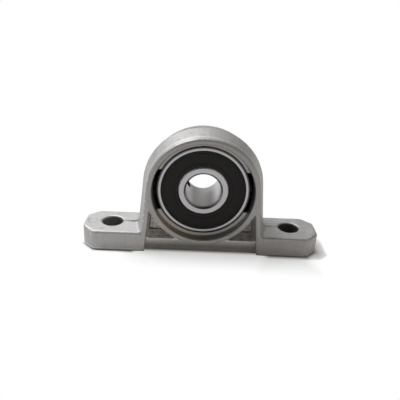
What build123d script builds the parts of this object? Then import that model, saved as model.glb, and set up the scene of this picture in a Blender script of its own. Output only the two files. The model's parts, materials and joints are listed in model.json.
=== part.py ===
"""Self-aligning pillow block bearing for an 8 mm shaft, as an assembly of separate pieces.

A cast housing with two bolt feet holds a ball bearing insert in a spherical seat.  The insert
is an outer ring with a spherical outside, seven balls in a riveted ribbon cage, an inner ring
with one long end for two set screws, and a rubber seal bonded to a steel core on each side.

Millimetres.  The origin is on the mounting plane, midway between the bolt holes.  +X runs
along the feet, +Y along the shaft towards the long end of the inner ring, and +Z up.
"""

from build123d import *
import os
from math import cos, radians, sin, sqrt, tan

# --- Housing casting ---
overall_length = 55.0
housing_depth = 10.8
shaft_height = 15.0
foot_edge_height = 4.8
foot_top_draft = 3.0
foot_corner_chamfer = 2.6
foot_corner_softening = 1.5
foot_edge_chamfer = 0.35
bolt_spacing = 42.0
bolt_hole_radius = 2.4
bolt_hole_chamfer = 0.3

arch_wall = 2.8
arch_draft = 12.0
arch_edge_chamfer = 0.25
leg_flare = 5.5
leg_foot_fillet = 1.0

leg_wall = 1.15
pocket_flare = 5.75
pocket_draft = 3.0
pocket_corner = 0.5
pocket_step = 0.1
pocket_front_depth = 5.8
web_thickness = 1.6
bar_ring_overlap = 0.65
bar_setback = 1.3

# --- Spherical seat and its loading slots ---
seat_clearance = 0.03
seat_inset = 0.1
counterbore_clearance = 0.3
counterbore_draft = 5.0
counterbore_chamfer = 0.2
slot_clearance = 2.5
slot_corner = 0.6
slot_relief = 0.12

# --- Bearing insert ---
outer_sphere_radius = 11.0
outer_ring_width = 7.0
outer_ring_edge = 0.2
bore_radius = 4.0
bore_chamfer = 0.4
inner_ring_width = 11.5
inner_land_step = 0.5
inner_ring_edge = 0.25
collar_gap = 0.4

ball_diameter = 3.969
ball_count = 7
first_ball = 90.0
groove_conformity = 0.52
groove_depth = 0.7
ball_clearance = 0.015

cage_sheet = 0.3
cage_width = 1.5
cage_pocket_clearance = 0.08
rivet_radius = 0.4
rivet_head_radius = 0.6
rivet_head_height = 0.2
rivet_head_draft = 30.0
rivet_fit = 0.01
rivet_sides = 12

# --- Seals ---
seal_mouth_wall = 1.25
seal_groove_step = 0.2
seal_mouth_depth = 0.35
seal_bead_slope = 0.15
seal_thickness = 0.68
seal_cage_gap = 0.25
seal_fit = 0.02
seal_lip_clearance = 0.04
seal_lip_width = 0.8
seal_shoulder_gap = 0.22
core_thickness = 0.25
core_inset = 0.35

# --- Set screws ---
screw_radius = 1.5
screw_length = 3.0
screw_socket_flats = 1.5
screw_socket_depth = 1.4
screw_edge = 0.25
screw_thread_clearance = 0.03
screw_tip_gap = 0.25
screw_angles = (83.0, 203.0)
screw_end_distance = 2.25

# --- Sizes that follow ---
overcut = 1.0
pick_tolerance = 0.01

half_depth = housing_depth / 2
foot_crest_height = foot_edge_height + half_depth * tan(radians(foot_top_draft))
arch_taper = half_depth * tan(radians(arch_draft))
arch_radius = outer_sphere_radius + arch_wall
arch_face_radius = arch_radius - arch_taper
leg_bore_radius = arch_face_radius - leg_wall
bar_height = shaft_height - arch_face_radius + bar_ring_overlap

ring_half_width = outer_ring_width / 2
front_y = -ring_half_width
rear_y = front_y + inner_ring_width
seat_radius = outer_sphere_radius + seat_clearance
seat_half_width = ring_half_width - seat_inset
counterbore_radius = outer_sphere_radius + counterbore_clearance
slot_height = outer_ring_width + slot_clearance

ball_radius = ball_diameter / 2
pitch_radius = (bore_radius + outer_sphere_radius) / 2
pocket_radius = ball_radius + cage_pocket_clearance
cage_reach = pocket_radius + cage_sheet
groove_radius = groove_conformity * ball_diameter
outer_groove_centre = pitch_radius + ball_radius + ball_clearance - groove_radius
inner_groove_centre = pitch_radius - ball_radius - ball_clearance + groove_radius
shoulder_offset = ball_radius + ball_clearance - groove_depth
outer_shoulder_radius = pitch_radius + shoulder_offset
inner_shoulder_radius = pitch_radius - shoulder_offset
inner_land_radius = inner_shoulder_radius - inner_land_step

seal_mouth_radius = outer_sphere_radius - seal_mouth_wall
seal_groove_radius = seal_mouth_radius + seal_groove_step
seal_inner_face = cage_reach + seal_cage_gap
seal_outer_face = seal_inner_face + seal_thickness
seal_mouth_floor = ring_half_width - seal_mouth_depth
inner_shoulder_half_width = seal_inner_face - seal_shoulder_gap

shaft_axis = Axis((0, 0, shaft_height), (0, 1, 0))
bearing_section = Plane(origin=(0, 0, shaft_height), x_dir=(0, 1, 0), z_dir=(1, 0, 0))
bearing_face = Plane(origin=(0, 0, shaft_height), x_dir=(1, 0, 0), z_dir=(0, -1, 0))


def screw_plane(angle, radius=0):
    """A plane facing outwards from the shaft axis at an angle, at the set screws' place along it."""
    x, z = cos(radians(angle)), sin(radians(angle))
    origin = (radius * x, rear_y - screw_end_distance, shaft_height + radius * z)
    return Plane(origin=origin, x_dir=(0, 1, 0), z_dir=(x, 0, z))


def around_shaft(index, count, start, radial=False):
    """A plane on the ball circle, for one place out of an even pattern: along the shaft, or radial."""
    angle = radians(start + index * 360 / count)
    outward = (cos(angle), 0, sin(angle))
    centre = (pitch_radius * outward[0], 0, shaft_height + pitch_radius * outward[2])
    if radial:
        return Plane(origin=centre, x_dir=(0, 1, 0), z_dir=outward)
    return Plane(origin=centre, x_dir=(1, 0, 0), z_dir=(0, -1, 0))


def face_plane(side):
    """The housing's front (-1) or rear (+1) face, with its normal pointing into the metal."""
    return Plane(origin=(0, side * half_depth, 0), x_dir=(side, 0, 0), z_dir=(0, -side, 0))


def save(piece, name):
    """Label a finished piece and write it to its own STEP file."""
    piece.part.label = name
    export_step(piece.part, f"parts/{name}.step")


os.makedirs("parts", exist_ok=True)


# --- Housing ---
def leg_x(radius, flare, height):
    """Half width at a height of a line that leaves the arch circle tangentially, flaring out."""
    slope = radians(flare)
    tangent_height = shaft_height + radius * sin(slope)
    return radius * cos(slope) + (tangent_height - height) * tan(slope)


def leg_opening(floor, step):
    """Corners of the opening between the legs, from a floor up to the shaft, set in by a step."""
    low = leg_x(leg_bore_radius, pocket_flare, floor) - step
    top = leg_x(leg_bore_radius, pocket_flare, shaft_height) - step
    return ((-low, floor), (low, floor), (top, shaft_height), (-top, shaft_height))


# The casting is the same either side of its parting plane, so its front half is made first.
arch_foot = -arch_taper - overcut
with BuildPart() as arch:
    with BuildSketch(Plane.XZ):
        with BuildLine():
            flare = radians(leg_flare)
            shoulder = (arch_radius * cos(flare), shaft_height + arch_radius * sin(flare))
            toe = (leg_x(arch_radius, leg_flare, arch_foot), arch_foot)
            ThreePointArc(shoulder, (0, shaft_height + arch_radius), (-shoulder[0], shoulder[1]))
            Polyline((-shoulder[0], shoulder[1]), (-toe[0], toe[1]), toe, shoulder)
        make_face()
    extrude(amount=half_depth, taper=arch_draft)
    chamfer(arch.faces().sort_by(Axis.Y)[0].edges(), arch_edge_chamfer)

with BuildPart() as housing:
    # Base bar with a foot at each end; its top falls away from the parting plane.
    with BuildSketch(Plane.YZ):
        with BuildLine():
            Polyline(
                (-half_depth, 0),
                (-half_depth, foot_edge_height),
                (0, foot_crest_height),
                (0, 0),
                close=True,
            )
        make_face()
    extrude(amount=overall_length / 2, both=True)
    chamfer(housing.edges().filter_by(Axis.Z).group_by(Axis.Y)[0], foot_corner_chamfer)
    corner_edges = housing.edges().filter_by(Axis.Z).filter_by(lambda e: e.center().Y < -pick_tolerance)
    fillet(corner_edges, foot_corner_softening)
    top = housing.faces().sort_by(Axis.Z)[-1]
    chamfer(top.edges().filter_by(lambda e: e.center().Y < -pick_tolerance), foot_edge_chamfer)

    add(arch.part)
    split(bisect_by=Plane.XY, keep=Keep.TOP)

    # Fillets where the legs stand on the feet.
    leg_at_foot = leg_x(arch_radius, leg_flare, foot_crest_height)
    junctions = housing.edges().filter_by(
        lambda e: abs(abs(e.center().X) - leg_at_foot) < leg_foot_fillet
        and abs(e.center().Z - foot_crest_height) < leg_foot_fillet
        and e.length > half_depth / 2
    )
    fillet(junctions, leg_foot_fillet)
    mirror(about=Plane.XZ)

    # Both faces are set back between the legs, outside the rim ring, and pocketed above the bar.
    rear_pocket_depth = housing_depth - pocket_front_depth - web_thickness
    for side, depth in ((-1, pocket_front_depth), (1, rear_pocket_depth)):
        with BuildSketch(face_plane(side)):
            Polygon(*leg_opening(-overcut, 0), align=None)
            with Locations((0, shaft_height)):
                Circle(arch_face_radius, mode=Mode.SUBTRACT)
        extrude(amount=bar_setback, mode=Mode.SUBTRACT)
        with BuildSketch(face_plane(side).offset(bar_setback)) as pocket:
            Polygon(*leg_opening(bar_height, pocket_step), align=None)
            with Locations((0, shaft_height)):
                Circle(arch_face_radius + pocket_step, mode=Mode.SUBTRACT)
            fillet(pocket.vertices(), pocket_corner)
        extrude(amount=depth - bar_setback, taper=pocket_draft, mode=Mode.SUBTRACT)

    # Counterbores and the spherical seat between them.
    seat_end_radius = sqrt(seat_radius**2 - seat_half_width**2)
    cut_end = half_depth + overcut
    mouth_y = half_depth - counterbore_chamfer
    mouth_radius = counterbore_radius + (mouth_y - seat_half_width) * tan(radians(counterbore_draft))
    with BuildSketch(bearing_section):
        with BuildLine():
            Polyline(
                (-seat_half_width, seat_end_radius),
                (-seat_half_width, counterbore_radius),
                (-mouth_y, mouth_radius),
                (-cut_end, mouth_radius + cut_end - mouth_y),
                (-cut_end, 0),
                (cut_end, 0),
                (cut_end, mouth_radius + cut_end - mouth_y),
                (mouth_y, mouth_radius),
                (seat_half_width, counterbore_radius),
                (seat_half_width, seat_end_radius),
            )
            ThreePointArc(
                (seat_half_width, seat_end_radius),
                (0, seat_radius),
                (-seat_half_width, seat_end_radius),
            )
        make_face()
    revolve(axis=shaft_axis, mode=Mode.SUBTRACT)

    # Loading slots, through which the insert goes in edgeways from the front.
    with BuildSketch(bearing_face) as slots:
        Rectangle(2 * arch_radius, slot_height)
        Circle(counterbore_radius + slot_relief, mode=Mode.INTERSECT)
        fillet(slots.vertices(), slot_corner)
    extrude(amount=cut_end, mode=Mode.SUBTRACT)

    # Bolt holes, each with its top edge broken.
    hole_break = foot_crest_height - bolt_hole_chamfer
    for floor, height, draft in ((0, foot_crest_height, 0), (hole_break, overcut, -45)):
        with BuildSketch(Plane.XY.offset(floor)):
            with GridLocations(bolt_spacing, 0, 2, 1):
                Circle(bolt_hole_radius)
        extrude(amount=height, taper=draft, mode=Mode.SUBTRACT)
save(housing, "housing")


# --- Outer ring ---
with BuildPart() as outer_ring:
    with BuildSketch(bearing_section):
        Circle(outer_sphere_radius)
        Rectangle(outer_ring_width, 2 * outer_sphere_radius, mode=Mode.INTERSECT)
        with BuildLine():
            Polyline(
                (-ring_half_width - overcut, 0),
                (-ring_half_width - overcut, seal_mouth_radius),
                (-seal_mouth_floor, seal_mouth_radius),
                (-seal_mouth_floor + seal_bead_slope, seal_groove_radius),
                (-seal_inner_face, seal_groove_radius),
                (-seal_inner_face, outer_shoulder_radius),
                (seal_inner_face, outer_shoulder_radius),
                (seal_inner_face, seal_groove_radius),
                (seal_mouth_floor - seal_bead_slope, seal_groove_radius),
                (seal_mouth_floor, seal_mouth_radius),
                (ring_half_width + overcut, seal_mouth_radius),
                (ring_half_width + overcut, 0),
                close=True,
            )
        make_face(mode=Mode.SUBTRACT)
        Rectangle(
            2 * outer_ring_width, outer_sphere_radius, align=(Align.CENTER, Align.MAX),
            mode=Mode.SUBTRACT,
        )
        with Locations((0, outer_groove_centre)):
            Circle(groove_radius, mode=Mode.SUBTRACT)
    revolve(axis=shaft_axis)
    ring_rims = outer_ring.edges().filter_by(GeomType.CIRCLE).filter_by(
        lambda e: abs(abs(e.center().Y) - ring_half_width) < pick_tolerance
        and e.radius > seal_groove_radius
    )
    chamfer(ring_rims, outer_ring_edge)
save(outer_ring, "outer_ring")

# --- Inner ring, with its long end at the rear for the set screws ---
collar_start = ring_half_width + collar_gap
with BuildPart() as inner_ring:
    with BuildSketch(bearing_section):
        Polygon(
            (front_y, bore_radius),
            (front_y, inner_land_radius),
            (-inner_shoulder_half_width, inner_land_radius),
            (-inner_shoulder_half_width, inner_shoulder_radius),
            (inner_shoulder_half_width, inner_shoulder_radius),
            (inner_shoulder_half_width, inner_land_radius),
            (collar_start, inner_land_radius),
            (collar_start, inner_shoulder_radius),
            (rear_y, inner_shoulder_radius),
            (rear_y, bore_radius),
            align=None,
        )
        with Locations((0, inner_groove_centre)):
            Circle(groove_radius, mode=Mode.SUBTRACT)
    revolve(axis=shaft_axis)
    end_rims = inner_ring.edges().filter_by(GeomType.CIRCLE)
    end_rims = end_rims.filter_by(
        lambda e: min(abs(e.center().Y - front_y), abs(e.center().Y - rear_y)) < pick_tolerance
    )
    chamfer(end_rims.filter_by(lambda e: e.radius < bore_radius + pick_tolerance), bore_chamfer)
    chamfer(end_rims.filter_by(lambda e: e.radius > bore_radius + pick_tolerance), inner_ring_edge)
    for angle in screw_angles:
        with BuildSketch(screw_plane(angle)):
            Circle(screw_radius + screw_thread_clearance)
        extrude(amount=inner_shoulder_radius + overcut, mode=Mode.SUBTRACT)
save(inner_ring, "inner_ring")

# --- Balls ---
for index in range(ball_count):
    with BuildPart(around_shaft(index, ball_count, first_ball)) as ball:
        Sphere(ball_radius)
    save(ball, f"ball_{index + 1}")

# --- Ribbon cage: two pressed halves, riveted together between the balls ---
first_rivet = first_ball + 180 / ball_count
cage_inner = pitch_radius - cage_width / 2
cage_outer = pitch_radius + cage_width / 2
for side, name in ((-1, "cage_front"), (1, "cage_rear")):
    with BuildPart() as cage_half:
        # A flat ribbon, with each pocket's wall wrapped round a ball and standing out of it.
        for index in range(ball_count):
            with BuildSketch(around_shaft(index, ball_count, first_ball, radial=True)):
                Circle(cage_reach)
            extrude(amount=cage_width, both=True)
        with BuildSketch(bearing_face):
            Circle(cage_outer)
            Circle(cage_inner, mode=Mode.SUBTRACT)
        extrude(amount=-side * (cage_reach + overcut), mode=Mode.INTERSECT)
        with BuildSketch(bearing_face):
            Circle(cage_outer)
            Circle(cage_inner, mode=Mode.SUBTRACT)
        extrude(amount=-side * cage_sheet)
        for index in range(ball_count):
            with BuildSketch(around_shaft(index, ball_count, first_ball, radial=True)):
                Circle(pocket_radius)
            extrude(amount=cage_width, both=True, mode=Mode.SUBTRACT)
        with BuildSketch(bearing_face):
            with PolarLocations(pitch_radius, ball_count, start_angle=first_rivet):
                RegularPolygon(rivet_radius + rivet_fit, rivet_sides)
        extrude(amount=-side * (cage_sheet + overcut), mode=Mode.SUBTRACT)
    save(cage_half, name)

for index in range(ball_count):
    rivet_plane = around_shaft(index, ball_count, first_rivet)
    with BuildPart() as rivet:
        with BuildSketch(rivet_plane):
            RegularPolygon(rivet_radius, rivet_sides)
        extrude(amount=cage_sheet, both=True)
        for facing in (-1, 1):
            with BuildSketch(rivet_plane.offset(facing * cage_sheet)):
                RegularPolygon(rivet_head_radius, rivet_sides)
            extrude(amount=facing * rivet_head_height, taper=rivet_head_draft)
    save(rivet, f"cage_rivet_{index + 1}")

# --- Seals: a rubber ring snapped into the outer ring, bonded to a steel core on its inside ---
lip_radius = inner_land_radius + seal_lip_clearance
core_inner = lip_radius + seal_lip_width
core_outer = seal_mouth_radius - core_inset
core_face = seal_inner_face + core_thickness
for side, name in ((-1, "front"), (1, "rear")):
    rubber_points = (
        (seal_inner_face, lip_radius),
        (seal_outer_face, lip_radius),
        (seal_outer_face, seal_mouth_radius - seal_fit),
        (seal_mouth_floor, seal_mouth_radius - seal_fit),
        (seal_mouth_floor - seal_bead_slope, seal_groove_radius - seal_fit),
        (seal_inner_face, seal_groove_radius - seal_fit),
        (seal_inner_face, core_outer),
        (core_face, core_outer),
        (core_face, core_inner),
        (seal_inner_face, core_inner),
    )
    with BuildPart() as seal_rubber:
        with BuildSketch(bearing_section):
            Polygon(*[(side * along, radius) for along, radius in rubber_points], align=None)
        revolve(axis=shaft_axis)
    save(seal_rubber, f"{name}_seal_rubber")

    with BuildPart() as seal_core:
        with BuildSketch(bearing_section):
            Polygon(
                (side * seal_inner_face, core_inner),
                (side * core_face, core_inner),
                (side * core_face, core_outer),
                (side * seal_inner_face, core_outer),
                align=None,
            )
        revolve(axis=shaft_axis)
    save(seal_core, f"{name}_seal_core")

# --- Set screws, backed just clear of the bore ---
for index, angle in enumerate(screw_angles):
    with BuildPart(screw_plane(angle, bore_radius + screw_tip_gap)) as set_screw:
        Cylinder(screw_radius, screw_length, align=(Align.CENTER, Align.CENTER, Align.MIN))
        chamfer(set_screw.edges().filter_by(GeomType.CIRCLE), screw_edge)
        with BuildSketch(screw_plane(angle, bore_radius + screw_tip_gap + screw_length)):
            RegularPolygon(screw_socket_flats / 2, 6, major_radius=False)
        extrude(amount=-screw_socket_depth, mode=Mode.SUBTRACT)
    save(set_screw, f"set_screw_{index + 1}")
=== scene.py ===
"""Looks of the pillow block bearing: a light casting, ground steel rings and black rubber seals.

Everything is in metres, in the CAD frame: +X along the feet, +Y along the shaft to the rear, +Z up.
Left, right, front and rear are as the photo's camera sees them.
"""

import json
import math

import bmesh
import bpy
from mathutils import Matrix, Vector, noise


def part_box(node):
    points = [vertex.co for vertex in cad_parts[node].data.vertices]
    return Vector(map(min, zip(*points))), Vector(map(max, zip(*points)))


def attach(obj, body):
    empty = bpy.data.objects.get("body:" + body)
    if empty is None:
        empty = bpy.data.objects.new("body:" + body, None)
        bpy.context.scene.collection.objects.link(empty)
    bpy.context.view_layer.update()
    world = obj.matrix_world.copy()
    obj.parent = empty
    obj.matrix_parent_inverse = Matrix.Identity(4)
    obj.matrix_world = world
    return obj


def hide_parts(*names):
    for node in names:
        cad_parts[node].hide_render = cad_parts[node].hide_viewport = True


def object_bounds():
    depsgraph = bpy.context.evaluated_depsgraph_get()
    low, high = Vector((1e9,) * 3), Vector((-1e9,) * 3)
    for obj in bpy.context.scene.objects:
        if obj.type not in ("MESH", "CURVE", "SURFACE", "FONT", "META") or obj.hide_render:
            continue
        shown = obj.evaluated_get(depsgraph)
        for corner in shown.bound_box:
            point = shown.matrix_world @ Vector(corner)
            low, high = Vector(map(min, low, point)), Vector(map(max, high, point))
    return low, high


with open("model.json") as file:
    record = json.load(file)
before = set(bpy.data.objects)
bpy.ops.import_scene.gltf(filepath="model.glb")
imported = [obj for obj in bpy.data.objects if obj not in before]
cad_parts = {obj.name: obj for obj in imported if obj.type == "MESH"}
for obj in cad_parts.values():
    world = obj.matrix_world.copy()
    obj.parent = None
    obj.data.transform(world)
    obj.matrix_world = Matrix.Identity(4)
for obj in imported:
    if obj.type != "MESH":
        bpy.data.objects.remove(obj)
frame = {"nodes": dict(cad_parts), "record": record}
cad_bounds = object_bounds()
nodes = frame["nodes"]

MM = 0.001
WHITE = (1, 1, 1, 1)

# --- Camera, fitted to the photo: its place, its turns in degrees and its focal length in pixels ---
CAMERA_PLACE = Vector((-3.264, -96.380, 56.622)) * MM
CAMERA_YAW = -1.61
CAMERA_PITCH = 25.20
CAMERA_ROLL = 3.06
FOCAL_PIXELS = 456.74
IMAGE_PIXELS = 400
SENSOR_WIDTH = 36.0
CAMERA_CLIP = 5 * MM

# --- Housing: the CAD's sizes, or close to them ---
SHAFT_HEIGHT = 15 * MM
BOLT_SPACING = 42 * MM
BOLT_HOLE_RADIUS = 2.4 * MM
FOOT_HEIGHT = 5 * MM
FOOT_CORNER = 2.6 * MM
LEG_LINE = 13.6 * MM  # the middle of the legs' walls at the floor
BAR_FRONT = -4.1 * MM
BAR_TOP = 2.95 * MM
RIM_RADIUS = 12.7 * MM
MACHINED_RADIUS = 11.75 * MM  # just past the mouth of the counterbore

# --- Cast skin: remeshed, softened, and moved inwards only ---
VOXEL = 0.16 * MM
SOFTENING = 0.5
SOFTENING_STEPS = 5
KEPT_FACES = 0.5
SOLE_HEIGHT = 0.3 * MM
GRAIN_DEPTH = 0.012 * MM
GRAIN_SIZE = 0.55 * MM
GRAIN_BIAS = 0.4
SWELL_DEPTH = 0.02 * MM
SWELL_SIZE = 3.5 * MM
SWELL_BIAS = 0.6
SEAM_HEIGHT = 0.035 * MM
SEAM_WIDTH = 0.22 * MM
WITNESS_PLACE = (-25.8 * MM, -0.1 * MM)
WITNESS_REACH = (1.05 * MM, 1.35 * MM)
WITNESS_DEPTH = 0.06 * MM
WITNESS_FLOOR = FOOT_HEIGHT - 0.8 * MM
WITNESS_EDGE = (1.1, 0.2)

# --- Zones of the casting. A zone is the product of its ramps, each of which is
#     (coordinate, where it starts, where it ends, the level before it, the level after it). ---
MACHINED = (("radius", MACHINED_RADIUS - 0.1 * MM, MACHINED_RADIUS, 1, 0),)
BAR_FACE = (
    ("side", LEG_LINE, LEG_LINE + 0.4 * MM, 1, 0),
    ("from_bar", 0.15 * MM, 0.35 * MM, 1, 0),
)
# Painted highlight along the top edge of the bar's front, and painted light on its upper part.
BAR_HIGHLIGHT_LINE = (
    ("z", BAR_TOP - 0.25 * MM, BAR_TOP - 0.15 * MM, 0, 1),
    ("z", BAR_TOP + 0.05 * MM, BAR_TOP + 0.1 * MM, 1, 0),
)
BAR_UPPER_LIGHT = (("z", 1.2 * MM, BAR_TOP - 0.3 * MM, 0, 0.3),)
# Painted shade low on the bar's front, darkest about 1 mm above the floor.
BAR_SHADE_TOP = (("z", 0.9 * MM, 2.4 * MM, 0.62, 0),)
BAR_SHADE_BOTTOM = (("z", 0.3 * MM, 1.1 * MM, 0.25, 0.62),)
BEYOND_LEG = ("side", LEG_LINE + 0.2 * MM, LEG_LINE + 0.6 * MM, 0, 1)
# Painted shade along the feet's soles: a contact shadow.
SOLE_SHADE = (BEYOND_LEG, ("z", 0.20 * MM, 0.32 * MM, 0.7, 0))
# Painted highlight on the feet's bottom edge, stronger on the left foot.
SOLE_HIGHLIGHT = (
    BEYOND_LEG,
    ("z", 0.32 * MM, 0.45 * MM, 0, 0.45),
    ("z", 0.6 * MM, 0.8 * MM, 1, 0),
    ("x", -LEG_LINE, LEG_LINE, 1, 0.2),
)
# Painted shade inside the bolt holes, deeper in the right one.
BOLT_HOLE_SHADE = (
    ("from_bolt", BOLT_HOLE_RADIUS + 0.05 * MM, BOLT_HOLE_RADIUS + 0.15 * MM, 0.9, 0),
    ("z", FOOT_HEIGHT - 0.6 * MM, FOOT_HEIGHT - 0.1 * MM, 1, 0),
    ("x", -LEG_LINE, LEG_LINE, 0.95, 1.35),
)
SEAM_NARROWING = (
    ("x", -LEG_LINE - 4 * MM, -LEG_LINE - 3.6 * MM, 1, 0.4),
    ("z", FOOT_HEIGHT + 4 * MM, FOOT_HEIGHT + 6 * MM, 1, 2.5),
)
SEAM_STRENGTH = (
    ("side", BOLT_SPACING / 2 - 2 * MM, BOLT_SPACING / 2 - 1 * MM, 1, 0.25),
    ("x", -LEG_LINE, LEG_LINE, 1, 0.6),
)
WITNESS_LINE = (
    ("from_witness", 0.02, 0.14, 0.22, 0),
    ("z", FOOT_HEIGHT - 0.6 * MM, FOOT_HEIGHT - 0.5 * MM, 0, 1),
)
# Painted light in the pockets beside the bore, stronger on the left.
POCKET_LIGHT = (
    ("radius", RIM_RADIUS, RIM_RADIUS + 0.3 * MM, 0, 1),
    ("side", LEG_LINE - 0.3 * MM, LEG_LINE, 1, 0),
    ("depth", 3.6 * MM, 3.9 * MM, 1, 0),
    ("z", 11 * MM, 12 * MM, 1, 0),
    ("x", -9 * MM, 9 * MM, 1.2, 0.6),
)
# Painted shade on the rim's front and rear faces, deeper higher up.
RIM_SHADE = (
    ("radius", RIM_RADIUS, RIM_RADIUS + 0.5 * MM, 1, 0),
    ("depth", 4.9 * MM, 5.2 * MM, 0, 1),
    ("z", 2.6 * MM, 5.5 * MM, 0, 1),
    ("up", 3 * MM, 8 * MM, 0.30, 0.54),
)
# Painted shade on the right leg's front, below the shaft.
RIGHT_LEG_FRONT_SHADE = (
    ("x", LEG_LINE - 1 * MM, LEG_LINE - 0.5 * MM, 0, 0.26),
    ("y", -5.2 * MM, -5.0 * MM, 1, 0),
    ("up", -1 * MM, 2 * MM, 1, 0),
)
FOOT_TOP = ("z", FOOT_HEIGHT - 0.9 * MM, FOOT_HEIGHT - 0.6 * MM, 0, 1)
# Painted light on the left foot's top, on its end and on the rear of its top.
LEFT_FOOT_TOP_LIGHT = (FOOT_TOP, ("x", -LEG_LINE - 2 * MM, -LEG_LINE - 1 * MM, 0.15, 0))
LEFT_FOOT_END_LIGHT = (("x", -26.6 * MM, -25.9 * MM, 0.15, 0),)
LEFT_FOOT_REAR_LIGHT = (
    FOOT_TOP,
    ("x", -LEG_LINE - 2.5 * MM, -LEG_LINE - 1.5 * MM, 0.28, 0),
    ("y", -0.2 * MM, 0.6 * MM, 0, 1),
)
ARCH = (
    ("radius", RIM_RADIUS, RIM_RADIUS + 0.5 * MM, 0, 0.2),
    ("up", 2 * MM, 5 * MM, 0, 1),
)
# Painted light on the arch's right side.
ARCH_RIGHT_LIGHT = (*ARCH, ("x", 1 * MM, 4 * MM, 0, 1))
# Painted shade on the arch's top left, dimming its highlight.
ARCH_SHADE_PLACE = -4 * MM
ARCH_HIGHLIGHT_SHADE = (*ARCH, ("from_dull", 0.5 * MM, 3.5 * MM, 1.9, 0))
# Paler edges below the arch's top: wear, and a painted highlight.
WORN_HIGHLIGHT_BELOW = (("z", SHAFT_HEIGHT, SHAFT_HEIGHT + 8 * MM, 1, 0.1),)
# The colour of the dark marks (pits, parting line, witness line) and of the painted shade.
DARK_MARK_AND_SHADE = (0.045, 0.04, 0.036)

# --- Noises and masks: each (low, high), or (low, high, the level at low, the level at high) ---
NOISE_SPAN = (0.3, 0.7)
TONE_SPAN = (-1.2, 1.2, 0, 1)
PITS = (0.28, 0.34, 1, 0)
MOTTLED = (0.38, 0.62, 0.25, 1)
SEAM_WANDER = (0, 1, -0.10 * MM, 0.10 * MM)
SEAM_LINE = (0.07 * MM, 0.16 * MM, 1, 0)
SEAM_BREAKS = (0.38, 0.50, 0.45, 1)
# Painted shade in corners and creases, from ambient occlusion.
CORNER_REACH = 1.2 * MM
CORNER_SHADE = (0.10, 0.45, 0.3, 0)
POINTED = (0.52, 0.60, 0, 1)
WORN_HIGHLIGHT_CLOUDS = (0.3, 0.6, 0.5, 1)
METAL_UNDER_MARKS_AND_SHADE = (0.2, 0.9, 0.84, 0.2)
EDGE_TURN = (0.99, 0.80, 0, 1)
BEVEL_SAMPLES = 6
CORNER_SAMPLES = 8

# --- Strengths of the casting's marks and painted shade, and of the painted highlight on its worn edges, in its colour and in its bumps ---
PIT_DARKNESS = 0.25
SEAM_DARKNESS = 0.95
SHADE_DARKNESS = 0.75
WORN_HIGHLIGHT_PALENESS = 0.7
CAST_ROUGHNESS = (0.51, 0.61)
MACHINED_GLOSS = 0.16
WORN_GLOSS = 0.15
CAST_BUMPS = 0.02 * MM
HOLLOW_SHARE = 1.5
LATHE_SHARE = 0.4

# --- Rings and seals, as the CAD has them ---
SPHERE_RADIUS = 11 * MM
RING_HALF_WIDTH = 3.5 * MM
SEAL_RECESS = 0.35 * MM
SEAL_BEAD_SLOPE = 0.15 * MM
SEAL_GROOVE = 9.95 * MM
SEAL_FIT = 0.02 * MM
SEAL_INNER_FACE = 2.6145 * MM
SEAL_OUTER_FACE = 3.2945 * MM
SEAL_LIP = 5.7405 * MM
CORE_REACH = (6.53 * MM, 9.42 * MM)
CORE_THICKNESS = 0.25 * MM
OUTER_SHOULDER = 8.7995 * MM
GROOVE_CENTRE = 7.4355 * MM
GROOVE_RADIUS = 2.0639 * MM
BORE_RADIUS = 4 * MM
LEAD_IN_RADIUS = 4.4 * MM

# --- Rings and seals, finer than the CAD, as the photo shows them ---
RING_EDGE = 0.35 * MM
SEAL_MOUTH = 9.56 * MM
SEAL_MOUTH_EDGE = 0.08 * MM
SEAL_RIM_EDGE = 0.06 * MM
SEAL_LIP_SLOPE = (0.1 * MM, 0.14 * MM)
SEAL_RINGS = (
    (6.45 * MM, 6.55 * MM, 6.70 * MM, 6.80 * MM),
    (8.90 * MM, 9.00 * MM, 9.14 * MM, 9.24 * MM),
)
SEAL_RING_DEPTH = 0.09 * MM
SMALL_EDGE = 0.03 * MM
CORNER_STEPS = 4
CORNER_SHARE = 0.45
GROOVE_STEPS = 16
SPHERE_STEPS = 24
ROUND_STEPS = 160
SHARP_ANGLE = 32

# --- Ground steel: tints, and zones as above; most zones place painted shade and painted light ---
STEEL_DARK = (0.94, 0.94, 0.985)
STEEL_PALE = (1.02, 1.02, 1.065)
# Near black, for painted shade on the ring steel.
RING_SHADE_COLOUR = (0.05, 0.045, 0.042)
# Painted shade on the sphere, where it shows past the seat.
SHADED_SPHERE = (("radius", 10.0 * MM, 10.12 * MM, 0, 0.88),)
BORE = (("radius", BORE_RADIUS + 0.02 * MM, BORE_RADIUS + 0.06 * MM, 1, 0),)
# Painted shade in the bore's front mouth and on its lead-in.
BORE_MOUTH_SHADE = (*BORE, ("y", -3.1 * MM, -2.3 * MM, 0.6, 0))
LEAD_IN_SHADE = (
    ("radius", BORE_RADIUS + 0.02 * MM, BORE_RADIUS + 0.06 * MM, 0, 1),
    ("radius", LEAD_IN_RADIUS, LEAD_IN_RADIUS + 0.05 * MM, 0.6, 0),
)
# Painted reflection on the bore's right side, and painted shade at its bottom.
BORE_RIGHT_LIGHT = (("x", 1.4 * MM, 3.3 * MM, 0, 1),)
BORE_BOTTOM_SHADE = (("up", -3.2 * MM, -3.95 * MM, 0, 1),)

# --- Set screws: M3 with a cup point and a hexagon socket ---
SCREW_RADIUS = 1.5 * MM
SCREW_LENGTH = 3 * MM
SCREW_EDGE = 0.25 * MM
SCREW_STEPS = 48
SCREW_ROWS = 60
THREAD_PITCH = 0.5 * MM
THREAD_DEPTH = 0.3 * MM
THREAD_TOOTH = (1.25, 2.6)
CUP_RADIUS = 0.75 * MM
CUP_DEPTH = 0.35 * MM
SOCKET_FLATS = 1.5 * MM
SOCKET_DEPTH = 1.4 * MM
SOCKET_EDGE = 0.07 * MM
SOCKET_POINT = 0.25 * MM

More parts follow.
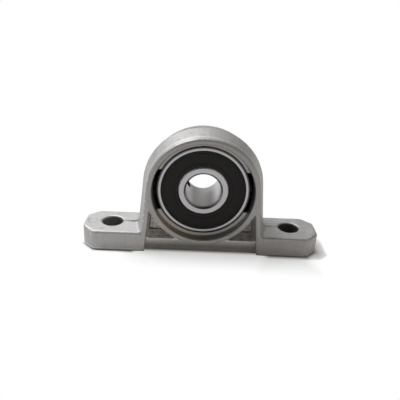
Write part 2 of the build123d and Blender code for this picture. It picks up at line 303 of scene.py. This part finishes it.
# --- Light: soft patches of the room as (compass angle from +X, height angle, strength, warmth) ---
ROOM_LIGHTS = (
    (180, 12, 0.66, 0.0),
    (315, 12, 0.62, 0.18),
    (90, 50, 0.84, 0.0),
)
PATCH_SHARPNESS = 5
BACKDROP_BAND = (0.03, 0.14, 1, 0)
KEY_PLACE = (-0.22, 0.13, 0.42)
KEY_SIZE = 0.22
KEY_POWER = 1.38

# --- Floor: how far its shadow is lifted towards white, and where; zones as above ---
FLOOR_REACH = 3.0
FLOOR_DROP = 0.02 * MM
FLOOR_TONE = 0.85
FLOOR_GLOSS_FADE = (120 * MM, 500 * MM, 0, 1)
CONTACT_SHRINK_LEFT = 2.2
CONTACT_FADE = (0, 1.2 * MM, 0, 1)
SHADE_START = 2 * MM
SHADE_FADE = (1.3 * MM, 8 * MM, 0, 1)
SHADE_LIFT = 0.55
END_LIFT = 0.34
LOWEST_LIFT = (("beyond_end", -2 * MM, 0.3 * MM, SHADE_LIFT, END_LIFT),)
SHADOW_SIDES = ((0, 2.35 * MM), (0.6, 4.0 * MM), (-1.1, 7.0 * MM))
PAST_SHADOW = (
    ("past_sides", -0.6 * MM, 0.6 * MM, 0, 1),
    ("beyond_end", -6 * MM, 0, 0, 1),
)
RIGHT_FRONT = (
    ("beyond_front", -1.1 * MM, 0.5 * MM, 1, 0),
    ("beyond_end", -9 * MM, 0, 0, 1),
)


# ---------------------------------------------------------------- node helpers
def is_socket(value):
    return isinstance(value, bpy.types.NodeSocket)


class Nodes:
    """A node tree, with short calls to add and join nodes."""

    def __init__(self, tree):
        self.tree = tree

    def feed(self, socket, value):
        if is_socket(value):
            self.tree.links.new(value, socket)
        else:
            socket.default_value = value

    def add(self, kind, settings=None, **inputs):
        """A node with its settings, and with its inputs by name, where _ stands for a space."""
        made = self.tree.nodes.new(kind)
        for name, value in (settings or {}).items():
            setattr(made, name, value)
        for socket, value in inputs.items():
            self.feed(made.inputs[socket.replace("_", " ")], value)
        return made

    def join(self, kind, operation, *values):
        made = self.add(kind, {"operation": operation})
        for socket, value in zip(made.inputs, values):
            self.feed(socket, value)
        return made.outputs

    def math(self, operation, *values):
        return self.join("ShaderNodeMath", operation, *values)[0]

    def vector(self, operation, *values):
        outputs = self.join("ShaderNodeVectorMath", operation, *values)
        return outputs["Value" if operation == "DOT_PRODUCT" else "Vector"]

    def fold(self, operation, first, *others):
        for value in others:
            first = self.math(operation, first, value)
        return first

    def product(self, *values):
        return self.fold("MULTIPLY", *values)

    def total(self, *values):
        return self.fold("ADD", *values)

    def largest(self, *values):
        return self.fold("MAXIMUM", *values)

    def smallest(self, *values):
        return self.fold("MINIMUM", *values)

    def minus(self, value, less):
        return self.math("SUBTRACT", value, less)

    def distance(self, value, place=0):
        """How far the value is from a place, on either side of it."""
        return self.math("ABSOLUTE", self.minus(value, place))

    def length(self, across, along):
        """The length of a vector with these two parts."""
        return self.math("SQRT", self.total(self.product(across, across), self.product(along, along)))

    def spread(self, value, low, high, to_low, to_high, kind="LINEAR"):
        """The value's range from low to high, moved to another range and held inside it."""
        made = self.add("ShaderNodeMapRange", {"interpolation_type": kind}, Value=value,
                        From_Min=low, From_Max=high, To_Min=to_low, To_Max=to_high)
        return made.outputs["Result"]

    def mix(self, kind, factor, first, second):
        """A mix of two numbers, vectors or colours: the first at a factor of 0, the second at 1."""
        made = self.add("ShaderNodeMix", {"data_type": kind})
        for socket, value in zip([s for s in made.inputs if s.enabled], (factor, first, second)):
            self.feed(socket, value)
        return next(s for s in made.outputs if s.enabled)

    def rays(self):
        """Masks of the camera's own rays, and of those that gloss and glass send out."""
        ray = self.add("ShaderNodeLightPath").outputs
        return ray["Is Camera Ray"], self.largest(ray["Is Glossy Ray"], ray["Is Transmission Ray"])


class Shader(Nodes):
    """A material's nodes, with the masks and noises that feed its Principled shader."""

    def __init__(self, name, **principled):
        self.material = bpy.data.materials.new(name)
        self.material.use_nodes = True
        super().__init__(self.material.node_tree)
        self.bsdf = self.tree.nodes["Principled BSDF"]
        self.output = self.tree.nodes["Material Output"]
        for socket, value in principled.items():
            self.bsdf.inputs[socket.replace("_", " ")].default_value = value
        self.place = self.add("ShaderNodeTexCoord").outputs["Object"]

    def locate(self):
        """The coordinates for zones: x, y, z and the distances to the side and front or rear."""
        self.x, self.y, self.z = self.add("ShaderNodeSeparateXYZ", Vector=self.place).outputs
        self.side, self.depth = self.math("ABSOLUTE", self.x), self.math("ABSOLUTE", self.y)

    def locate_round_shaft(self):
        """The coordinates, with the height over the shaft's axis and the distance from it."""
        self.locate()
        self.up = self.minus(self.z, SHAFT_HEIGHT)
        self.radius = self.length(self.x, self.up)

    def zone(self, ramps):
        """A zone's ramps multiplied together, each along this shader's coordinate of that name."""
        return self.product(*(self.spread(getattr(self, along), *ramp) for along, *ramp in ramps))

    def noise(self, size, detail=3.0, roughness=0.5, stretch=(1, 1, 1)):
        """Noise with features of about that size in metres."""
        mapped = self.add("ShaderNodeMapping", Vector=self.place, Scale=stretch)
        made = self.add("ShaderNodeTexNoise", Vector=mapped.outputs[0], Scale=1 / size,
                        Detail=detail, Roughness=roughness)
        return made.outputs["Fac"]

    def turning_marks(self, size, squeeze=1.0):
        """The fine rings that a lathe or a grinding wheel leaves round the shaft's axis."""
        line = self.add("ShaderNodeCombineXYZ", X=self.product(self.radius, squeeze), Y=self.y)
        made = self.add("ShaderNodeTexNoise", Vector=line.outputs[0], Scale=1 / size, Detail=2.0)
        return made.outputs["Fac"]

    def tint(self, factor, first, second):
        """The first colour, with the second over it by the factor."""
        first, second = (value if is_socket(value) else (*value, 1) for value in (first, second))
        return self.mix("RGBA", factor, first, second)

    def rounded(self, radius):
        """The surface normal with its edges rounded."""
        return self.add("ShaderNodeBevel", {"samples": BEVEL_SAMPLES}, Radius=radius).outputs[0]

    def soft_edges(self, radius):
        """The surface normal with its edges rounded, and a mask that is 1 on the edges."""
        rounded = self.rounded(radius)
        flat = self.add("ShaderNodeNewGeometry").outputs["Normal"]
        return rounded, self.spread(self.vector("DOT_PRODUCT", rounded, flat), *EDGE_TURN)

    def bump(self, height, depth, normal=None):
        """Bumps of a depth in metres, from a height of 0 to 1."""
        made = self.add("ShaderNodeBump", Height=height, Distance=depth)
        if normal is not None:
            self.feed(made.inputs["Normal"], normal)
        return made.outputs["Normal"]

    def finish(self, colour, roughness, normal):
        for socket, value in (("Base Color", colour), ("Roughness", roughness), ("Normal", normal)):
            self.feed(self.bsdf.inputs[socket], value)
        return self.material


def grey(value, warm=0.0):
    """A grey, a little warmer or cooler than neutral."""
    return (value * (1 + warm), value, value * (1 - warm))


# ---------------------------------------------------------------- the casting's material
def parting_line(s):
    """The dark, broken line where the die's halves met, wider low down, but not on the left foot."""
    wander = s.spread(s.noise(3 * MM, 2), *SEAM_WANDER)
    away = s.product(s.math("ABSOLUTE", s.total(s.y, wander)), s.smallest(s.zone(SEAM_NARROWING), 1))
    breaks = s.spread(s.noise(2.2 * MM, 3), *SEAM_BREAKS)
    return s.product(s.spread(away, *SEAM_LINE), s.zone(SEAM_STRENGTH), breaks)


def painted_shade(s):
    """Painted shade in the corners, low on the bar's front, along the feet's soles and in the bolt
    holes.
    """
    open_sky = s.add("ShaderNodeAmbientOcclusion", {"samples": CORNER_SAMPLES}, Distance=CORNER_REACH)
    # Painted shade low on the bar's front.
    bar_shade = s.product(s.zone(BAR_FACE), s.smallest(s.zone(BAR_SHADE_TOP), s.zone(BAR_SHADE_BOTTOM)))
    # Painted shade in corners and creases, where ambient occlusion is low.
    corners = s.spread(open_sky.outputs["AO"], *CORNER_SHADE)
    return s.largest(corners, bar_shade, s.zone(SOLE_SHADE), s.zone(BOLT_HOLE_SHADE))


def casting():
    """Light zinc casting: blasted grain, cloudy tone, small pits, worn edges and a parting line, with
    painted shade in hollows and low down, and painted light and highlights on some faces and edges.
    """
    s = Shader("casting")
    s.locate_round_shaft()
    s.from_bar = s.distance(s.y, BAR_FRONT)
    s.from_bolt = s.length(s.minus(s.side, BOLT_SPACING / 2), s.y)
    # Distance from the place where painted shade dims the arch's highlight.
    s.from_dull = s.distance(s.x, ARCH_SHADE_PLACE)
    parts = [s.math("DIVIDE", s.minus(value, place), reach)
             for value, place, reach in zip((s.x, s.y), WITNESS_PLACE, WITNESS_REACH)]
    s.from_witness = s.distance(s.length(*parts), 1)
    clouds = s.noise(6 * MM, 4)
    mottle = s.noise(1.1 * MM, 3)
    drag = s.noise(0.8 * MM, 3, stretch=(1, 1, 0.12))
    grain = s.noise(0.35 * MM, 4, 0.6)
    pits = s.spread(s.noise(0.9 * MM, 2), *PITS)
    point = s.add("ShaderNodeNewGeometry").outputs["Pointiness"]
    # Paler pointed edges: wear, and a painted highlight.
    worn_highlight = s.product(s.spread(point, *POINTED), s.spread(clouds, *WORN_HIGHLIGHT_CLOUDS), s.zone(WORN_HIGHLIGHT_BELOW))
    machined = s.zone(MACHINED)
    seam = s.product(parting_line(s), s.minus(1, machined))
    # Painted highlight on the bar's top edge, and painted light on its upper front.
    bar_highlight = s.product(s.zone(BAR_FACE), s.largest(s.zone(BAR_HIGHLIGHT_LINE), s.zone(BAR_UPPER_LIGHT)))
    # Dark marks: pits, the parting line and the witness line, together with painted shade.
    dark = s.largest(
        s.product(pits, PIT_DARKNESS), s.product(seam, SEAM_DARKNESS),
        s.product(painted_shade(s), SHADE_DARKNESS), s.zone(WITNESS_LINE),
    )
    tone = s.total(
        s.spread(clouds, *NOISE_SPAN, -0.5, 0.5),
        s.spread(mottle, *NOISE_SPAN, -0.5, 0.5),
        s.spread(drag, *NOISE_SPAN, -0.3, 0.3),
    )
    colour = s.tint(s.spread(tone, *TONE_SPAN), grey(0.46, 0.02), grey(0.64))
    # Tints over the tone: painted light in the pockets, on the left foot and on the arch's right;
    # painted shade on the rim, the right leg's front and the arch's highlight; painted highlights on
    # the bar's edge, the soles and the worn edges; the machined seat's own colour; dark marks with
    # painted shade.
    for amount, over in (
        (s.product(s.zone(POCKET_LIGHT), s.spread(mottle, *MOTTLED)), grey(0.98, 0.02)),
        (s.largest(s.zone(RIM_SHADE), s.zone(RIGHT_LEG_FRONT_SHADE)), grey(0.33, 0.04)),
        (s.largest(s.zone(LEFT_FOOT_TOP_LIGHT), s.zone(LEFT_FOOT_END_LIGHT), s.zone(ARCH_RIGHT_LIGHT)), grey(0.95)),
        (s.zone(ARCH_HIGHLIGHT_SHADE), grey(0.33, 0.02)),
        (s.zone(LEFT_FOOT_REAR_LIGHT), grey(0.95)),
        (s.largest(bar_highlight, s.zone(SOLE_HIGHLIGHT)), grey(1.0)),
        (s.product(worn_highlight, WORN_HIGHLIGHT_PALENESS), grey(0.85, 0.01)),
        (machined, grey(0.42, 0.04)),
        (dark, DARK_MARK_AND_SHADE),
    ):
        colour = s.tint(amount, colour, over)
    blasted = s.minus(grain, s.product(s.total(pits, seam), HOLLOW_SHARE))
    height = s.mix("FLOAT", machined, blasted, s.product(s.turning_marks(0.09 * MM), LATHE_SHARE))
    roughness = s.spread(mottle, *NOISE_SPAN, *CAST_ROUGHNESS)
    roughness = s.minus(roughness, s.product(machined, MACHINED_GLOSS))
    roughness = s.minus(roughness, s.product(worn_highlight, WORN_GLOSS))
    # Less metallic under the dark marks and the painted shade.
    s.feed(s.bsdf.inputs["Metallic"], s.spread(dark, *METAL_UNDER_MARKS_AND_SHADE))
    return s.finish(colour, roughness, s.bump(height, CAST_BUMPS))


# ---------------------------------------------------------------- the other materials
def ground_steel(name, tone, roughness, mark_size):
    """Bearing steel with fine rings from grinding and a warmer bore, with painted shade on the
    sphere, the lead-in and the bore's front mouth and bottom, painted light on the bore's right side,
    and paler edges that are polish and a painted highlight.
    """
    s = Shader(name, Metallic=1.0)
    s.locate_round_shaft()
    marks = s.turning_marks(mark_size, 0.4)
    clouds = s.noise(3 * MM, 3)
    rounded, edge = s.soft_edges(0.12 * MM)
    steels = ([tone * part for part in steel] for steel in (STEEL_DARK, STEEL_PALE))
    colour = s.tint(clouds, *steels)
    # Paler edges: polish, and a painted highlight.
    colour = s.tint(s.product(edge, 0.4), colour, grey(min(1, tone * 1.25)))
    bore = s.tint(clouds, grey(tone * 0.92, 0.03), grey(tone, 0.02))
    # Painted reflection on the bore's right side, and painted shade at its bottom.
    bore = s.tint(s.zone(BORE_RIGHT_LIGHT), bore, grey(tone * 1.32, 0.01))
    bore = s.tint(s.zone(BORE_BOTTOM_SHADE), bore, grey(tone * 0.78, 0.03))
    in_bore = s.zone(BORE)
    colour = s.tint(in_bore, colour, bore)
    # Painted shade on the sphere past the seat, on the lead-in and in the bore's front mouth.
    dark = s.largest(s.zone(SHADED_SPHERE), s.zone(LEAD_IN_SHADE), s.zone(BORE_MOUTH_SHADE))
    colour = s.tint(dark, colour, RING_SHADE_COLOUR)
    rough = s.spread(marks, *NOISE_SPAN, roughness * 0.85, roughness * 1.2)
    rough = s.total(rough, s.product(in_bore, 0.12))
    return s.finish(colour, rough, s.bump(marks, 0.002 * MM, rounded))


def plain_steel(name, tone, roughness, warm=0.0):
    """Steel with a fine grain, and paler edges that are polish and a painted highlight."""
    s = Shader(name, Metallic=1.0)
    grain = s.noise(0.15 * MM, 3)
    clouds = s.noise(1.2 * MM, 3)
    rounded, edge = s.soft_edges(0.08 * MM)
    colour = s.tint(clouds, grey(tone * 0.9, warm), grey(tone * 1.06, warm))
    # Paler edges: polish, and a painted highlight.
    colour = s.tint(s.product(edge, 0.5), colour, grey(min(1, tone * 1.5)))
    rough = s.spread(grain, *NOISE_SPAN, roughness * 0.85, roughness * 1.15)
    return s.finish(colour, rough, s.bump(grain, 0.003 * MM, rounded))


def rubber():
    """Black rubber, a little dusty."""
    s = Shader("rubber", Metallic=0.0, Specular_IOR_Level=0.2)
    grain = s.noise(0.12 * MM, 3)
    dust = s.noise(2.2 * MM, 4)
    colour = s.tint(dust, grey(0.022), grey(0.028))
    rough = s.spread(dust, *NOISE_SPAN, 0.5, 0.62)
    return s.finish(colour, rough, s.bump(grain, 0.004 * MM, s.rounded(0.1 * MM)))


def dress(material, *names):
    for name in names:
        nodes[name].data.materials.clear()
        nodes[name].data.materials.append(material)


RING_STEEL = ground_steel("ring_steel", 0.63, 0.28, 0.05 * MM)
CAGE_STEEL = plain_steel("cage_steel", 0.52, 0.35, 0.01)
CASTING = casting()
RUBBER = rubber()
SCREW_STEEL = plain_steel("screw_steel", 0.06, 0.38, 0.02)
CORE_STEEL = plain_steel("core_steel", 0.5, 0.4)
RIVET_STEEL = plain_steel("rivet_steel", 0.55, 0.3)
BALL_STEEL = plain_steel("ball_steel", 0.66, 0.08)
dress(CASTING, "housing")
dress(RING_STEEL, "outer_ring", "inner_ring")
dress(RUBBER, "front_seal_rubber", "rear_seal_rubber")
dress(CORE_STEEL, "front_seal_core", "rear_seal_core")
dress(CAGE_STEEL, "cage_front", "cage_rear")
dress(RIVET_STEEL, *(name for name in nodes if name.startswith("cage_rivet")))
dress(BALL_STEEL, *(name for name in nodes if name.startswith("ball")))
dress(SCREW_STEEL, "set_screw_1", "set_screw_2")


# ---------------------------------------------------------------- cast housing
def cast_housing():
    """The casting as it leaves the die: soft edges, a slightly uneven skin and a parting line."""
    mesh = nodes["housing"].data.copy()
    mesh.name = "cast_housing"
    piece = bpy.data.objects.new("cast_housing", mesh)
    bpy.context.scene.collection.objects.link(piece)
    remesh = piece.modifiers.new("remesh", "REMESH")
    remesh.mode = "VOXEL"
    remesh.voxel_size = VOXEL
    soften = piece.modifiers.new("soften", "SMOOTH")
    soften.factor = SOFTENING
    soften.iterations = SOFTENING_STEPS
    thin = piece.modifiers.new("thin", "DECIMATE")
    thin.ratio = KEPT_FACES
    evaluated = piece.evaluated_get(bpy.context.evaluated_depsgraph_get())
    shaped = bpy.data.meshes.new_from_object(evaluated)
    piece.modifiers.clear()
    piece.data = shaped
    roughen(shaped)
    shaped.shade_smooth()
    shaped.materials.clear()
    shaped.materials.append(CASTING)
    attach(piece, "housing")
    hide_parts("housing")


def roughen(mesh):
    """Sink the skin by a little grain and swell, less at the parting line; the seat and sole stay."""
    edge, fade = WITNESS_EDGE
    normals = [Vector(v.normal) for v in mesh.vertices]
    for vertex, normal in zip(mesh.vertices, normals):
        x, y, z = vertex.co
        if math.hypot(x, z - SHAFT_HEIGHT) < MACHINED_RADIUS or z < SOLE_HEIGHT:
            continue
        grain = noise.noise(vertex.co / GRAIN_SIZE) - GRAIN_BIAS
        swell = noise.noise(vertex.co / SWELL_SIZE) - SWELL_BIAS
        seam = max(0.0, 1 - abs(y) / SEAM_WIDTH)
        move = GRAIN_DEPTH * grain + SWELL_DEPTH * swell + SEAM_HEIGHT * seam
        if z > WITNESS_FLOOR:
            parts = [(value - place) / reach
                     for value, place, reach in zip((x, y), WITNESS_PLACE, WITNESS_REACH)]
            move -= WITNESS_DEPTH * min(1, max(0, (edge - math.hypot(*parts)) / fade))
        vertex.co = vertex.co + normal * min(move, 0.0)


# ---------------------------------------------------------------- turned pieces
def skin(name, rings, looped=False):
    """A closed mesh through rings of points; a ring of a single point closes an end."""
    points = [point for ring in rings for point in ring]
    starts = [sum(len(ring) for ring in rings[:i]) for i in range(len(rings))]
    pairs = [(i, i + 1) for i in range(len(rings) - 1)]
    if looped:
        pairs.append((len(rings) - 1, 0))
    faces = []
    for first, second in pairs:
        m, n = len(rings[first]), len(rings[second])
        for i in range(max(m, n)):
            j = (i + 1) % max(m, n)
            corners = (
                starts[first] + i % m, starts[first] + j % m,
                starts[second] + j % n, starts[second] + i % n,
            )
            faces.append(tuple(dict.fromkeys(corners)))
    mesh = bpy.data.meshes.new(name)
    mesh.from_pydata(points, [], faces)
    shape = bmesh.new()
    shape.from_mesh(mesh)
    bmesh.ops.recalc_face_normals(shape, faces=shape.faces)
    shape.to_mesh(mesh)
    shape.free()
    mesh.shade_smooth()
    mesh.set_sharp_from_angle(angle=math.radians(SHARP_ANGLE))
    return mesh


def stand_for(mesh, material, body, node):
    """Put a finished mesh in place of a CAD node."""
    piece = bpy.data.objects.new(mesh.name, mesh)
    bpy.context.scene.collection.objects.link(piece)
    mesh.materials.clear()
    mesh.materials.append(material)
    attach(piece, body)
    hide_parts(node)


def softened(corners, radius):
    """A closed profile with each corner rounded; a corner may bring its own radius, or 0 to stay."""
    profile = []
    for i, corner in enumerate(corners):
        here = Vector(corner[:2])
        wanted = corner[2] if len(corner) > 2 else radius
        if wanted == 0:
            profile.append(here)
            continue
        before = Vector(corners[i - 1][:2]) - here
        after = Vector(corners[(i + 1) % len(corners)][:2]) - here
        start = here + before.normalized() * min(wanted, before.length * CORNER_SHARE)
        end = here + after.normalized() * min(wanted, after.length * CORNER_SHARE)
        for step in range(CORNER_STEPS + 1):
            t = step / CORNER_STEPS
            profile.append(start * (1 - t) ** 2 + here * 2 * t * (1 - t) + end * t ** 2)
    return profile


def turned(name, profile):
    """A closed profile of (place along the shaft, radius), turned about the shaft axis."""
    turns = [math.tau * i / ROUND_STEPS for i in range(ROUND_STEPS)]
    rings = [[(radius * math.cos(a), along, SHAFT_HEIGHT + radius * math.sin(a)) for a in turns]
             for along, radius in profile]
    return skin(name, rings, looped=True)


def outer_ring():
    """The outer ring, with its ground sphere, rounded edges, seal mouths and ball groove."""
    wide, face = RING_HALF_WIDTH, math.sqrt(SPHERE_RADIUS**2 - RING_HALF_WIDTH**2)
    recess = wide - SEAL_RECESS
    side = [
        (wide, face, RING_EDGE), (wide, SEAL_MOUTH, SEAL_MOUTH_EDGE), (recess, SEAL_MOUTH),
        (recess - SEAL_BEAD_SLOPE, SEAL_GROOVE), (SEAL_INNER_FACE, SEAL_GROOVE),
        (SEAL_INNER_FACE, OUTER_SHOULDER),
    ]
    reach = math.sqrt(GROOVE_RADIUS**2 - (OUTER_SHOULDER - GROOVE_CENTRE)**2)
    swing = math.asin(reach / GROOVE_RADIUS)
    angles = [swing * (1 - 2 * i / GROOVE_STEPS) for i in range(GROOVE_STEPS + 1)]
    groove = [(GROOVE_RADIUS * math.sin(a), GROOVE_CENTRE + GROOVE_RADIUS * math.cos(a), 0)
              for a in angles]
    along = [-wide * (1 - 2 * i / SPHERE_STEPS) for i in range(1, SPHERE_STEPS)]
    sphere = [(y, math.sqrt(SPHERE_RADIUS**2 - y**2), 0) for y in along]
    far_side = [(-corner[0], *corner[1:]) for corner in reversed(side)]
    return turned("ground_outer_ring", softened(side + groove + far_side + sphere, SMALL_EDGE))


def seal(name, side):
    """A moulded rubber seal: a bead in the ring's groove, a face with two shallow rings and a lip."""
    face, dip = SEAL_OUTER_FACE, SEAL_OUTER_FACE - SEAL_RING_DEPTH
    recess, mouth, bead = RING_HALF_WIDTH - SEAL_RECESS, SEAL_MOUTH - SEAL_FIT, SEAL_GROOVE - SEAL_FIT
    back, core_face = SEAL_INNER_FACE, SEAL_INNER_FACE + CORE_THICKNESS
    core_inner, core_outer = CORE_REACH
    slope_along, slope_out = SEAL_LIP_SLOPE
    shallow_rings = [corner for ring in SEAL_RINGS for corner in zip((face, dip, dip, face), ring)]
    corners = [
        (back, SEAL_LIP), (face - slope_along, SEAL_LIP), (face, SEAL_LIP + slope_out),
        *shallow_rings,
        (face, mouth, SEAL_RIM_EDGE), (recess, mouth), (recess - SEAL_BEAD_SLOPE, bead), (back, bead),
        (back, core_outer), (core_face, core_outer), (core_face, core_inner), (back, core_inner),
    ]
    return turned(name, [(side * along, radius) for along, radius in softened(corners, SMALL_EDGE)])


def set_screw(name, node):
    """A socket set screw with its thread, on the line of its slide."""
    low, high = (Vector(corner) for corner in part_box(node))
    joints = {joint["name"]: joint for joint in frame["record"]["behaviour"]["joints"]}
    axis = Vector(joints[node + "_drive"]["axis"]).normalized()
    foot = (low + high) / 2 - axis * SCREW_LENGTH / 2
    across = Vector((0, 1, 0))
    beside = axis.cross(across)
    turns = [math.tau * i / SCREW_STEPS for i in range(SCREW_STEPS)]
    crest, slope = THREAD_TOOTH

    def ring(height, radius_at):
        centre = foot + axis * height
        return [centre + (across * math.cos(a) + beside * math.sin(a)) * radius_at(a) for a in turns]

    def thread(height):
        limit = SCREW_RADIUS - SCREW_EDGE + min(height, SCREW_LENGTH - height)

        def radius_at(a):
            phase = (height / THREAD_PITCH - a / math.tau) % 1
            tooth = min(1, max(0, crest - slope * abs(phase - 0.5)))
            return min(limit, SCREW_RADIUS - THREAD_DEPTH * (1 - tooth))
        return radius_at

    def hexagon(flats):
        return lambda a: flats / 2 / math.cos(a % (math.pi / 3) - math.pi / 6)

    heights = [SCREW_LENGTH * i / SCREW_ROWS for i in range(SCREW_ROWS + 1)]
    return skin(name, [
        [foot + axis * CUP_DEPTH],
        ring(0, lambda a: CUP_RADIUS),
        *(ring(height, thread(height)) for height in heights),
        ring(SCREW_LENGTH, hexagon(SOCKET_FLATS + 2 * SOCKET_EDGE)),
        ring(SCREW_LENGTH - SOCKET_EDGE, hexagon(SOCKET_FLATS)),
        ring(SCREW_LENGTH - SOCKET_DEPTH, hexagon(SOCKET_FLATS)),
        [foot + axis * (SCREW_LENGTH - SOCKET_DEPTH - SOCKET_POINT)],
    ])


# ---------------------------------------------------------------- stage
def away_from_block(s, left, right, half_depth, corner=0):
    """Distance on the floor from a block that stands there, with its corners cut off."""
    beside = s.minus(s.distance(s.x, (left + right) / 2), (right - left) / 2)
    before = s.minus(s.depth, half_depth)
    cut = s.product(s.total(beside, before, corner), math.sqrt(0.5))
    return s.largest(s.length(s.largest(beside, 0), s.largest(before, 0)), cut)


def floor_lift(s):
    """How far the floor is lifted to white, from 0 under the part, and the distance from the part."""
    front, half_length = -cad_bounds[0][1], cad_bounds[1][0]
    left_foot = away_from_block(s, -half_length, -LEG_LINE, front, FOOT_CORNER)
    right_foot = away_from_block(s, LEG_LINE, half_length, front, FOOT_CORNER)
    bar = away_from_block(s, -LEG_LINE, LEG_LINE, -BAR_FRONT)
    near = s.smallest(left_foot, right_foot, bar)
    shrink = s.spread(s.x, -half_length, -LEG_LINE, CONTACT_SHRINK_LEFT, 1)
    contact = s.spread(s.product(near, shrink), *CONTACT_FADE)

    s.beyond_end, s.beyond_front = s.minus(s.x, half_length), s.total(s.y, front)
    s.past_sides = s.largest(*(
        s.minus(s.total(s.beyond_end, s.product(s.y, slant)), reach) for slant, reach in SHADOW_SIDES
    ))
    shaded_bar = away_from_block(s, -LEG_LINE + SHADE_START, LEG_LINE, -BAR_FRONT)
    out_of_shade = s.spread(s.smallest(shaded_bar, right_foot), *SHADE_FADE)
    lowest = s.zone(LOWEST_LIFT)
    lift = s.total(lowest, s.product(out_of_shade, s.minus(1, lowest)))
    return s.product(contact, s.largest(lift, s.zone(PAST_SHADOW), s.zone(RIGHT_FRONT))), near


def make_floor():
    """A white floor that keeps the shadow near the part, and is plain white further out."""
    turns = ((-1, -1), (1, -1), (1, 1), (-1, 1))
    corners = [(x * FLOOR_REACH, y * FLOOR_REACH, 0) for x, y in turns]
    mesh = bpy.data.meshes.new("floor")
    mesh.from_pydata(corners, [], [(0, 1, 2, 3)])
    floor = bpy.data.objects.new("floor", mesh)
    bpy.context.scene.collection.objects.link(floor)
    floor.location.z = -FLOOR_DROP
    s = Shader("floor", Roughness=1.0, Specular_IOR_Level=0, Base_Color=(*grey(FLOOR_TONE), 1))
    s.locate()
    seen, mirrored = s.rays()
    lift, near = floor_lift(s)
    white = s.largest(s.product(seen, lift), s.product(mirrored, s.spread(near, *FLOOR_GLOSS_FADE)))
    glow = s.add("ShaderNodeEmission", Color=WHITE, Strength=1.0)
    mix = s.add("ShaderNodeMixShader", Fac=white)
    s.feed(mix.inputs[1], s.bsdf.outputs[0])
    s.feed(mix.inputs[2], glow.outputs[0])
    s.feed(s.output.inputs["Surface"], mix.outputs[0])
    mesh.materials.append(s.material)


def make_world():
    """A room with soft patches of light, and a white backdrop for the camera, gloss and glass."""
    world = bpy.data.worlds.new("studio")
    bpy.context.scene.world = world
    world.use_nodes = True
    w = Nodes(world.node_tree)
    direction = w.add("ShaderNodeTexCoord").outputs["Generated"]
    room = (0, 0, 0)
    for compass, height, strength, warmth in ROOM_LIGHTS:
        compass, height = math.radians(compass), math.radians(height)
        level = math.cos(height)
        towards = (level * math.cos(compass), level * math.sin(compass), math.sin(height))
        facing = w.largest(w.vector("DOT_PRODUCT", direction, towards), 0)
        colour = [strength * value for value in grey(1, warmth)]
        patch = w.vector("MULTIPLY", w.math("POWER", facing, PATCH_SHARPNESS), colour)
        room = w.vector("ADD", patch, room)
    steepness = w.math("ABSOLUTE", w.add("ShaderNodeSeparateXYZ", Vector=direction).outputs["Z"])
    seen, mirrored = w.rays()
    band = w.spread(steepness, *BACKDROP_BAND, kind="SMOOTHSTEP")
    white = w.largest(w.product(mirrored, band), seen)
    back = w.tree.nodes["Background"]
    w.feed(back.inputs["Color"], w.mix("VECTOR", white, room, WHITE[:3]))
    back.inputs["Strength"].default_value = 1


def make_lamp(name, place, target, size, power):
    """A square soft lamp of a power in watts, aimed at a point."""
    light = bpy.data.lights.new(name, "AREA")
    light.size = size
    light.energy = power
    lamp = bpy.data.objects.new(name, light)
    bpy.context.scene.collection.objects.link(lamp)
    lamp.location = place
    lamp.rotation_euler = (Vector(target) - Vector(place)).to_track_quat("-Z", "Y").to_euler()


def make_camera():
    """The photo's camera."""
    camera = bpy.data.objects.new("camera", bpy.data.cameras.new("camera"))
    bpy.context.scene.collection.objects.link(camera)
    turn = (
        Matrix.Rotation(math.radians(CAMERA_YAW), 4, "Z")
        @ Matrix.Rotation(math.radians(90 - CAMERA_PITCH), 4, "X")
        @ Matrix.Rotation(math.radians(CAMERA_ROLL), 4, "Z")
    )
    camera.matrix_world = Matrix.Translation(CAMERA_PLACE) @ turn
    camera.data.sensor_width = SENSOR_WIDTH
    camera.data.lens = FOCAL_PIXELS / IMAGE_PIXELS * SENSOR_WIDTH
    camera.data.clip_start = CAMERA_CLIP
    bpy.context.scene.camera = camera


cast_housing()
stand_for(outer_ring(), RING_STEEL, "insert", "outer_ring")
stand_for(seal("front_seal", -1), RUBBER, "insert", "front_seal_rubber")
stand_for(seal("rear_seal", 1), RUBBER, "insert", "rear_seal_rubber")
for number in (1, 2):
    screw = f"set_screw_{number}"
    stand_for(set_screw(f"threaded_screw_{number}", screw), SCREW_STEEL, screw, screw)
make_floor()
make_world()
make_lamp("key", KEY_PLACE, (0, 0, SHAFT_HEIGHT), KEY_SIZE, KEY_POWER)
make_camera()
bpy.context.scene.view_settings.view_transform = "Standard"
